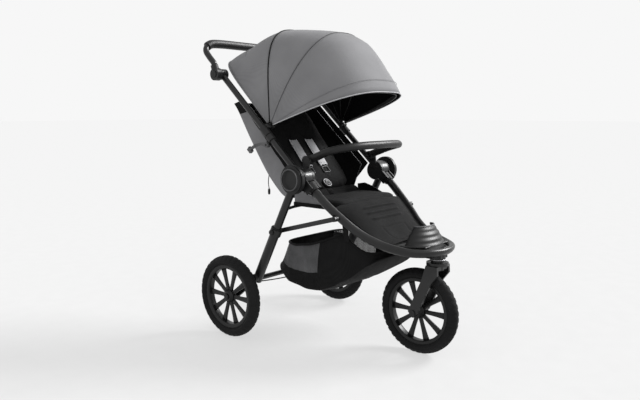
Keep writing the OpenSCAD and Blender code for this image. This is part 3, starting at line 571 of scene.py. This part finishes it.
pin_point = P(0, CANOPY_PIN[0], CANOPY_PIN[1])
for name, a0, a1, sag, node, ends in (
        ("hood_rear", REAR_HEM, REAR_RIB, 0.004, "canopy_rear", None),
        ("hood_middle", REAR_RIB, MID_RIB, 0.006, "canopy_mid", ("upper_frame", "canopy_middle")),
        ("hood_front", MID_RIB, FRONT_RIB, 0.005, "canopy_front", ("canopy_middle", "canopy_fore"))):
    o, area, rows = canopy_sheet(name, a0, a1, sag, node)
    face_outwards(o, pin_point)
    if ends:
        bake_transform(o)
    else:
        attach(o, "upper_frame")
    wide = 2 * (CANOPY_HALF + 340) / 1000
binding("hood_hem", REAR_HEM + 0.4, 0.0022, GREY, "upper_frame", "grey_cloth")
binding("hood_binding_rear", REAR_RIB, 0.0021, WEB, "upper_frame", "black_cloth", 0.4)
binding("hood_seam_middle", MID_RIB, 0.0011, SEAM, "canopy_middle", "black_cloth", 0.3)
binding("hood_brim", FRONT_RIB, 0.0018, PAD, "canopy_fore", "grey_cloth")
binding("hood_brim_seam", FRONT_RIB - 7, 0.0007, GREY, "canopy_fore", "grey_cloth", 0.2)
binding("hood_rear_seam", REAR_HEM + 17, 0.0008, SEAM, "upper_frame", "grey_cloth", -3)


def folds(o):
    """Gives a soft piece of the backrest its own copy of its mesh."""
    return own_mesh(o)


def puff(o, cap, voxel=0.006, pressure=4.0):
    """Swells a closed form as stuffed cloth, no point moving further than cap."""
    modifier(o, "REMESH", mode="VOXEL", voxel_size=voxel)
    apply_all(o)
    rest = [v.co.copy() for v in o.data.vertices]
    cloth = modifier(o, "CLOTH")
    cloth.settings.quality = 4
    cloth.settings.use_pressure = True
    cloth.settings.uniform_pressure_force = pressure
    cloth.settings.effector_weights.gravity = 0
    cloth.point_cache.frame_start, cloth.point_cache.frame_end = 1, 20
    for f in range(1, 21):
        bpy.context.scene.frame_set(f)
    apply_all(o)
    bpy.context.scene.frame_set(1)
    for v, r in zip(o.data.vertices, rest):
        d = v.co - r
        if d.length > cap:
            v.co = r + d.normalized() * cap
    for f in o.data.polygons:
        f.use_smooth = True
    return o


def crowned(name, half_x, half_y, thick, place, mat, body, node, cap, channels, quilt, tops=1.0):
    """A cushion in its own plane: place(u, v, w) puts millimetres across, along and
    out of that plane into the frame. Channels and quilting are pressed in afterwards."""
    rows, count = [], 64
    for w, inset in ((0, 7), (0.16, 1.5), (0.5, 0), (0.84, 1.5), (1, 8)):
        ring = []
        for k in range(count):
            a = 2 * math.pi * k / count
            c, s = math.cos(a), math.sin(a)
            ring.append(Vector(((half_x - inset) * math.copysign(abs(c) ** 0.28, c),
                                (half_y - inset) * math.copysign(abs(s) ** 0.28, s), w * thick)) / 1000)
        rows.append(ring)
    verts, faces = grid(rows, round_cols=True)
    o = piece(name, verts, faces + [tuple(reversed(range(count))), tuple(range(4 * count, 5 * count))], mat)
    puff(o, cap)
    for v in o.data.vertices:
        x, y, w = v.co * 1000
        if w > thick * 0.5:
            dent = sum(depth * math.exp(-((x - line) / 3.2) ** 2) for line, depth in channels)
            dent += sum(depth * math.exp(-((y - line) / 3.2) ** 2) for line, depth in quilt)
            edge = max(abs(x) / half_x, abs(y) / half_y)
            dent += 3.2 * max(0, edge - 0.86) / 0.14
            w -= dent * (w - thick * 0.5) / (thick * 0.5)
            w += 1.2 * noise.noise(Vector((x / 45, y / 45, 2))) * tops
        v.co = place(x, y, min(max(w, -1), thick + 3))
    o.data.update()
    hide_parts(*([node] if node else []))
    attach(o, body)
    return o


def on_seat(x, y, w):
    return P(x, -17 + y, 496 + w)


def on_back(x, s, depth):
    y, z = back_at(203 + s, 26 - depth)
    return P(x, y, z)


crowned("seat_pad", 172, 87, 22, on_seat, BLACK, "chassis", "seat_cushion", 0.006,
        [(-88, 3), (88, 3)], [(30, 2), (-40, 1.5)])
back = crowned("back_pad", 160, 200, 25, on_back, BLACK, "backrest", "backrest_pad", 0.006,
               [(-112, 3.4), (-78, 2.4), (78, 2.4), (112, 3.4)], [(-120, 2.2), (-10, 2.6), (110, 2.2)])
folds(back)

# A stiff board under cloth, its outline rounded
parts = [[], []]
rows = []
for depth in (26.5, 27.5, 32.5, 33.6):
    inset = 1.4 if depth in (26.5, 33.6) else 0
    ring = []
    for k in range(48):
        a = 2 * math.pi * k / 48
        c, s = math.cos(a), math.sin(a)
        y, z = back_at(272 + (122 - inset) * math.copysign(abs(s) ** 0.2, s), depth)
        ring.append(P((148 - inset) * math.copysign(abs(c) ** 0.2, c), y, z))
    rows.append(ring)
verts, faces = grid(rows, round_cols=True)
piece("back_board", verts, faces + [tuple(reversed(range(48))), tuple(range(144, 192))],
      BLACK, "backrest", "foam", ["backrest_board"])

# Cloth that closes the crease between the seat and the backrest
rows = []
for i, q in enumerate(spline([(0, 52, 503), (0, 78, 511), (0, 96, 527), (0, *back_at(14, 20))], 6)):
    row = []
    for k in range(41):
        row.append(P(176 * (k / 20 - 1), q.y, q.z + 0.8 * noise.noise(Vector((k / 3, i / 4, 1)))))
    rows.append(row)
crease = piece("crease_cloth", *grid(rows), BLACK, "chassis", "black_cloth")
area = sum(f.area for f in crease.data.polygons)
modifier(crease, "SOLIDIFY", thickness=0.002, offset=0)

# The shell behind the seat: one sheet, from one side tube round the back to the other
SHELL = [(-2, 34), (30, 56), (110, 66), (200, 62), (300, 52), (400, 38), (440, 37)]
outer = spline([(0, *back_at(*q)) for q in SHELL], 8)
rows = []
for i, q in enumerate(outer):
    t = i / (len(outer) - 1)
    wy, wz = upper_at(60 + 370 * t ** 0.85, 10, -18)
    row = []
    for k in range(61):
        u = 2 * k / 60 - 1
        across = abs(u)
        if across > 0.66:
            f = (across - 0.66) / 0.34
            x = 184 + 1.5 * math.sin(math.pi * f)
            y, z = q.y + (wy - q.y) * f, q.z + (wz - q.z) * f
            soft = math.sin(math.pi * f)
            x -= soft * 3.2 * (0.5 + 0.5 * noise.noise(Vector((y / 38, z / 30, u))))
        else:
            x, y, z = 184 * min(1, across / 0.66 * 1.0), q.y, q.z
            soft = math.cos(across / 0.66 * math.pi / 2)
            lift = 3.4 * soft * noise.noise(Vector((u * 3, t * 5, 4)))
            y += lift * 0.6 - 2
            z -= lift * 0.4 - 1.5
        row.append(P(math.copysign(x, u), y, z))
    rows.append(row)
verts, faces = grid(rows)
SHELL_ROWS, POCKET_ROW = len(outer) - 1, 0.8


def shell_cloth(index):
    return 2 if index // 60 / SHELL_ROWS > POCKET_ROW else 0


shell = piece("seat_back_shell", verts, faces, [GREY, LINING, BLACK, LINING], "backrest", "grey_cloth",
              ["seat_shell"], pick=shell_cloth)
face_outwards(shell, P(0, 180, 680))
area = sum(f.area for f in shell.data.polygons)
modifier(shell, "SOLIDIFY", thickness=0.0022, offset=-1, material_offset=1)
folds(shell)

# Black side wings, from the edge of the backrest to the side tube
for s, word in ((1, "left"), (-1, "right")):
    rows = []
    for i in range(25):
        t = i / 24
        low, high = Vector((0, *back_at(8 + 430 * t, 26))), Vector((0, *upper_at(48 + 492 * t, 3, -6)))
        row = []
        for k in range(17):
            f = k / 16
            q = low.lerp(high, f)
            slack = math.sin(math.pi * f) * (3 + 3 * noise.noise(Vector((t * 6, f * 2, s))))
            row.append(P(s * (150 + 55 * f ** 0.8 + slack), q.y, q.z))
        rows.append(row)
    wing = piece(f"side_wing_{word}", *grid(rows), [LINING, BLACK], "backrest", "black_cloth")
    area = sum(f.area for f in wing.data.polygons)
    modifier(wing, "SOLIDIFY", thickness=0.0016, offset=0)
    folds(wing)


def ribbon(name, line, half, thick, across, mat, body, slot, replaces=(), steps=6):
    """A flat strap with rounded edges along points in metres."""
    pts, rows, across = spline(line, steps), [], Vector(across).normalized()
    for i, q in enumerate(pts):
        t = (pts[min(i + 1, len(pts) - 1)] - pts[max(i - 1, 0)]).normalized()
        n = across.cross(t).normalized()
        rows.append([q + across * half * a + n * thick * b for a, b in
                     ((-1, 0), (-0.96, 0.5), (-0.8, 0.9), (0, 1), (0.8, 0.9), (0.96, 0.5),
                      (1, 0), (0.96, -0.5), (0.8, -0.9), (0, -1), (-0.8, -0.9), (-0.96, -0.5))])
    verts, faces = grid(rows, round_cols=True)
    n = len(verts)
    return piece(name, verts, faces + [tuple(reversed(range(12))), tuple(range(n - 12, n))],
                 mat, body, slot, replaces)


for s, word in ((1, "left"), (-1, "right")):
    x = s * 44
    line = [P(x, *back_at(t, -1.8)) for t in (44, 70, 100, 130, 160, 190, 220, 250)]
    web = ribbon(f"shoulder_web_{word}", line, 0.0115, 0.0011, (1, 0, 0), WEB, "backrest", "black_cloth",
                 ["shoulder_straps"] if s == 1 else [])
    folds(web)
    rows = []
    for i in range(25):
        t = i / 24
        along_s, end = 104 + 118 * t, min(1, min(t, 1 - t) / 0.08)
        h, half = 3.4 + 5.6 * math.sqrt(end * (2 - end)), 17 + 3 * math.sqrt(end * (2 - end))
        ring = []
        for k in range(28):
            a = 2 * math.pi * k / 28
            c, sn = math.cos(a), math.sin(a)
            lift = h / 2 * math.copysign(abs(sn) ** 0.7, sn)
            ring.append(P(x + half * math.copysign(abs(c) ** 0.6, c), *back_at(along_s, -7.4 - lift)))
        rows.append(ring)
    verts, faces = grid(rows, round_cols=True)
    ends = [tuple(reversed(range(28))), tuple(range(24 * 28, 25 * 28))]
    pad = piece(f"shoulder_pad_{word}", verts, faces + ends, PAD, "backrest", "pad_cloth",
                ["shoulder_pads"] if s == 1 else [])
    folds(pad)
    loop = [P(x + a * 20, *back_at(b, -8)) for a, b in
            ((-0.7, 104), (0.7, 104), (1, 109), (1, 217), (0.7, 222), (-0.7, 222), (-1, 217), (-1, 109),
             (-0.7, 104))]
    edge = spline(loop, 5)
    verts, faces = sweep(edge, 0.0013, (0, 0.766, -0.643), sides=8)
    folds(piece(f"shoulder_piping_{word}", verts, faces, PIPING, "backrest", "pad_cloth"))
    frame_line = [P(x + a * 17, *back_at(82 + b * 13, -5)) for a, b in
                  ((-1, -0.8), (-0.8, -1), (0.8, -1), (1, -0.8), (1, 0.8), (0.8, 1), (-0.8, 1), (-1, 0.8),
                   (-1, -0.8))]
    verts, faces = sweep(frame_line, 0.0022, (0, 0.766, -0.643), sides=8)
    folds(piece(f"strap_adjuster_{word}", verts, faces, RING, "backrest", "plastic"))

ribbon("crotch_web", [P(-20, 61, 518.6), P(-24, 60, 527), P(-32, 60, 535), P(-38, 61, 540)], 0.013, 0.0012,
       (1, 0, 0), WEB, "chassis", "black_cloth", ["crotch_strap"])
tilt = Matrix.Rotation(math.radians(BACK_ANGLE - 6), 4, "X")
buckle_mid = P(-40, 70, 560)


def facing(name, profile, mat, body, slot, replaces=()):
    """Turns (radius, height) points about the buckle's own axis."""
    rows = []
    for k in range(48):
        a = 2 * math.pi * k / 48
        turned = [Vector((r * math.cos(a), r * math.sin(a), h)) for r, h in profile]
        rows.append([buckle_mid + tilt @ (q / 1000) for q in turned])
    return piece(name, *grid(rows, round_rows=True, round_cols=True), mat, body, slot, replaces)


facing("buckle_body",
       [(0.2, -6), (18.5, -6), (20, -4), (20, 4.6), (18.4, 6.8), (13.2, 7), (12.1, 6), (12.1, 1), (0.2, 1)],
       PLASTIC, "chassis", "plastic", ["buckle"])
facing("buckle_ring", [(15, 6.7), (16.2, 7.5), (17.4, 6.9), (16.2, 6.1)], PIPING, "chassis", "plastic")
facing("buckle_press", [(0.2, 4), (11.4, 4), (11.7, 5), (11.5, 8), (10.6, 8.9), (7.5, 8.4), (0.2, 8.1)],
       RING, "release", "plastic", ["buckle_button"])

# ------------------------------------------------------------------ basket
TOP_EDGE = [(-206, 350), (-150, 390), (-124, 420), (-60, 392), (20, 362), (100, 350), (165, 352)]
LOW_EDGE = [(-224, 322), (-150, 258), (-60, 208), (-10, 188), (40, 184), (140, 198), (226, 252)]


def evenly(points, count):
    """Count points at equal steps along a closed line."""
    runs = [0]
    for p, q in zip(points, points[1:]):
        runs.append(runs[-1] + math.dist(p, q))
    out, j = [], 0
    for k in range(count):
        want = runs[-1] * k / count
        while runs[j + 1] < want:
            j += 1
        t = (want - runs[j]) / max(runs[j + 1] - runs[j], 1e-9)
        out.append(tuple(a + (b - a) * t for a, b in zip(points[j], points[j + 1])))
    return out


def basket_ring(h, shrink, count=120):
    y0, y1 = -224 + 18 * h, 224 - 57 * h
    outline = []
    for k in range(721):
        a = 2 * math.pi * k / 720
        c, s = math.cos(a), math.sin(a)
        outline.append(((182 + 5 * h) * math.copysign(abs(c) ** 0.32, c),
                        (y0 + y1) / 2 + (y1 - y0) / 2 * math.copysign(abs(s) ** 0.42, s)))
    ring = []
    for x, y in evenly(outline, count):
        flank = abs(x) > 165 and -30 < y < 160
        x, y = x * shrink, (y0 + y1) / 2 + (y - (y0 + y1) / 2) * shrink
        low, high = lookup(y, LOW_EDGE), lookup(y, TOP_EDGE)
        z = low + 2.5 + (high - low - 3) * h + 10 * max(0, 1 - h / 0.2) * shrink ** 6 - 5 * (1 - shrink)
        if shrink == 1:
            slack = (2.5 + 2.5 * noise.noise(Vector((y / 36, h * 2, x / 180)))) * (1 - math.sin(math.pi * h))
            pleat = 1.8 * math.cos(y / 4.6) * 4 * h * (1 - h) if flank else 0
            x -= math.copysign(1.2 + pleat + slack, x)
        else:
            z += 1.6 * noise.noise(Vector((x / 40, y / 40, 7))) + 1.5
        ring.append(P(x, y, z))
    return ring


rows = [basket_ring(0, s) for s in (0.04, 0.3, 0.6, 0.85, 0.96)] + [basket_ring(h / 12, 1) for h in range(13)]
verts, faces = grid(rows, round_cols=True)
faces.append(tuple(reversed(range(120))))


def basket_cloth(index):
    """Net in the upper part of each flank, closed cloth elsewhere."""
    band, column = index // 120 - 5, index % 120
    return 2 if band >= 5 and (1 <= column <= 18 or 42 <= column <= 59) else 0


bag = piece("basket_bag", verts, faces, [BLACK, LINING, NET], "chassis", "basket_cloth", ["basket"],
            pick=basket_cloth)
area = sum(f.area for f in bag.data.polygons)
modifier(bag, "SOLIDIFY", thickness=0.0016, offset=-1)
rim_line = basket_ring(1, 1)
verts, faces = sweep(rim_line + rim_line[:1], 0.0034, (0, 0.001, 1), sides=10)
rim_tape = piece("basket_binding", verts, faces, WEB, "chassis", "basket_cloth")
for o in (bag, rim_tape):
    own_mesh(o)
for s, word in ((1, "left"), (-1, "right")):
    ribbon(f"basket_hanger_{word}", [P(s * 184, -139, 392), P(s * 190, -139, 420), P(s * 196, -139, 452)],
           0.011, 0.0011, (0, 1, 0), WEB, "chassis", "basket_cloth")

# ------------------------------------------------ calf panel and footrest
CALF = [(-92, 514), (-126, 507), (-170, 466), (-228, 412), (-278, 396)]
CALF_HALF = [(92, 192), (126, 178), (150, 168), (192, 150), (244, 130), (280, 118)]
TUBE_TOP = [(92, 502), (143, 461), (192, 425), (244, 399), (294, 386)]
line = spline([(0, *q) for q in CALF], 30)
rows = []
for i, q in enumerate(line):
    t = i / (len(line) - 1)
    half, rail = lookup(-q.y, CALF_HALF), lookup(-q.y, TUBE_TOP)
    rib = sum(math.exp(-((t - c) / 0.016) ** 4) for c in (0.34, 0.43, 0.52))
    row = []
    for k in range(61):
        u = 2 * k / 60 - 1
        near = max(0, 1 - max(0, abs(u) - 0.5) / 0.08)
        ring = math.exp(-((max(abs(u) / 0.46, abs(t - 0.77) / 0.13) - 1) / 0.05) ** 2)
        lift = 5.0 * rib * min(1, near) - 2.4 * ring - 2.0 + 1.2 * noise.noise(Vector((u * 3, t * 4, 9)))
        drop = (q.z - rail) * abs(u) ** 5
        row.append(P(half * u, q.y - lift * 0.72, q.z + lift * 0.69 - drop))
    rows.append(row)
calf = piece("calf_cloth", *grid(rows), [BLACK, LINING], "chassis", "black_cloth", ["calf_panel"])
face_outwards(calf, P(0, -120, 300))
modifier(calf, "SOLIDIFY", thickness=0.0045, offset=-1)

PLATE = [(-270, 124), (-300, 115), (-340, 97), (-372, 74)]
rows = []
for i in range(33):
    y = -270 - 102 * i / 32
    half = lookup(-y, [(-a, b) for a, b in PLATE])
    row = []
    for k in range(57):
        u = 2 * k / 56 - 1
        groove = -1.6 * math.exp(-(((y + 300) % 14 - 7) / 1.6) ** 2) if abs(u) < 0.82 else 0
        edge = 2.2 * math.exp(-((abs(u) - 0.95) / 0.03) ** 2)
        row.append(P(half * u, y, 388.5 + groove + edge - 1.2 * (i / 32)))
    rows.append(row)
plate = piece("foot_plate", *grid(rows), CAP, "chassis", "plastic", ["footrest"])
face_outwards(plate, P(0, -320, 300))
modifier(plate, "SOLIDIFY", thickness=0.007, offset=-1)
rows = []
for i in range(25):
    h = i / 24
    z = 370 + 76 * h
    row = []
    for k in range(49):
        a = math.pi * (k / 48 * 1.16 - 0.08)
        wide, deep = 101 - 50 * h ** 1.4, 63 - 38 * h ** 1.2
        groove = 1.0 * math.cos(h * math.pi * 9) * (0.15 < h < 0.9)
        row.append(P((wide + groove) * math.cos(a), -320 - (deep + groove) * math.sin(a), z))
    rows.append(row)
toe = piece("toe_cup", *grid(rows), CAP, "chassis", "plastic")
face_outwards(toe, P(0, -320, 400))
modifier(toe, "SOLIDIFY", thickness=0.004, offset=-1)
verts, faces = sweep(rows[-1], 0.0024, (0, 0, 1), sides=10)
piece("toe_cup_edge", verts, faces, RING, "chassis", "plastic")

# ------------------------------------- side skirts between the hub and seat
SKIRT_TOP = [(-62, 502), (-20, 516), (20, 534), (62, 546), (96, 540)]
for s, word in ((1, "left"), (-1, "right")):
    rows = []
    for i in range(13):
        h = i / 12
        row = []
        for k in range(33):
            y = -62 + 158 * k / 32
            z = 494 + (lookup(y, SKIRT_TOP) - 494) * h
            slack = 2.5 * math.sin(math.pi * h) * noise.noise(Vector((y / 22, h * 2, s)))
            row.append(P(s * (184 + slack), y, z))
        rows.append(row)
    skirt = piece(f"seat_skirt_{word}", *grid(rows), [GREY, LINING], "chassis", "grey_cloth")
    face_outwards(skirt, P(0, 20, 520))
    area = sum(f.area for f in skirt.data.polygons)
    modifier(skirt, "SOLIDIFY", thickness=0.0016, offset=-1, material_offset=1)
    ribbon(f"skirt_band_{word}", [P(s * 186, y, 499) for y in (-64, -20, 30, 98)], 0.007, 0.0014,
           (0, 0, 1), WEB, "chassis", "black_cloth")

# ---------------------------------------------------------- small fittings
for s, word in ((1, "left"), (-1, "right")):
    x = s * 287.6
    verts, faces = lathe([(33, x), (34.5, x + s * 1.3), (36, x + s * 1.3), (37.5, x)], (0, *HUB), 72)
    piece(f"hub_ring_{word}", verts, faces, RING, "chassis", "plastic")
    c = leg_at(213)
    profile = [(0.1, s * 281), (8, s * 281), (9.5, s * 279), (10, s * 272), (0.1, s * 272)]
    verts, faces = lathe(profile, (0, *c), 32)
    piece(f"collar_boss_{word}", verts, faces, CAP, "collars", "plastic")
    profile = [(0.1, s * 284.6), (5, s * 284.6), (6.5, s * 283), (6.5, s * 281), (0.1, s * 281)]
    verts, faces = lathe(profile, (0, *ARM_PIN), 24)
    piece(f"arm_bolt_{word}", verts, faces, STEEL, f"arm_{word}", "steel")
rows = [[P((24.4 + e) * math.cos(a), -376 + (24.4 + e) * math.sin(a), 336 + h) for e, h in
         ((1.9, 0.6), (2.6, 2), (1.9, 3.4), (1, 2))] for a in (2 * math.pi * k / 64 for k in range(64))]
piece("steerer_ring", *grid(rows, round_rows=True, round_cols=True), STEEL, "chassis", "steel")

# ----------------------------------------------- finishes of the CAD parts
FINISH = {
    "hub_left": CAP, "hub_right": CAP, "hub_cap_left": CAP, "hub_cap_right": CAP, "steerer_housing": CAP,
    "link_mounts": PLASTIC, "bar_mount_left": PLASTIC, "bar_mount_right": PLASTIC,
    "upper_tube_left": FRAME, "upper_tube_right": FRAME, "canopy_pins": PLASTIC, "canopy_rib_rear": PLASTIC,
    "canopy_rib_mid": PLASTIC, "canopy_rib_front": PLASTIC, "brake_bracket": PLASTIC, "brake_lever": LEVER,
    "handle_knuckle_left": CAP, "handle_knuckle_right": CAP, "handle_button_left": PLASTIC,
    "handle_button_right": PLASTIC, "rear_leg_left": FRAME, "rear_leg_right": FRAME, "axle_bar": FRAME,
    "leg_collars": CAP, "lower_links": FRAME, "swing_arm_left": PLASTIC, "swing_arm_right": PLASTIC,
    "fork": FRAME, "front_axle": CAP, "swivel_lock": PLASTIC,
}
for name, mat in FINISH.items():
    nodes[name].data.materials.clear()
    nodes[name].data.materials.append(mat)

# ------------------------------------------------------------ floor, light
FLOOR = surface("pale_floor", (0.155, 0.155, 0.155), (0.165, 0.165, 0.165), 0.9, "grain", 60,
                0.02, 0.0003, gloss=0.0)
glow = FLOOR.node_tree.nodes["Principled BSDF"]
glow.inputs["Emission Color"].default_value = (1, 1, 1, 1)
glow.inputs["Emission Strength"].default_value = 0.6
corners = [(-60, -60, 0), (60, -60, 0), (60, 60, 0), (-60, 60, 0)]
floor = piece("floor", corners, [(0, 1, 2, 3)], FLOOR, smooth=False)
world = bpy.data.worlds.new("studio")
world.use_nodes = True
world.node_tree.nodes["Background"].inputs["Color"].default_value = (0.93, 0.93, 0.93, 1)
world.node_tree.nodes["Background"].inputs["Strength"].default_value = 1.0
bpy.context.scene.world = world
for name, aim, power, width in (("key", (-0.85, 0.5, -0.7), 5.2, 24), ("fill", (0.5, 0.9, -0.8), 0.3, 60)):
    lamp = bpy.data.objects.new(name, bpy.data.lights.new(name, "SUN"))
    lamp.data.energy, lamp.data.angle = power, math.radians(width)
    lamp.rotation_euler = Vector(aim).to_track_quat("-Z", "Y").to_euler()
    bpy.context.scene.collection.objects.link(lamp)
bpy.context.scene.view_settings.view_transform = "Standard"
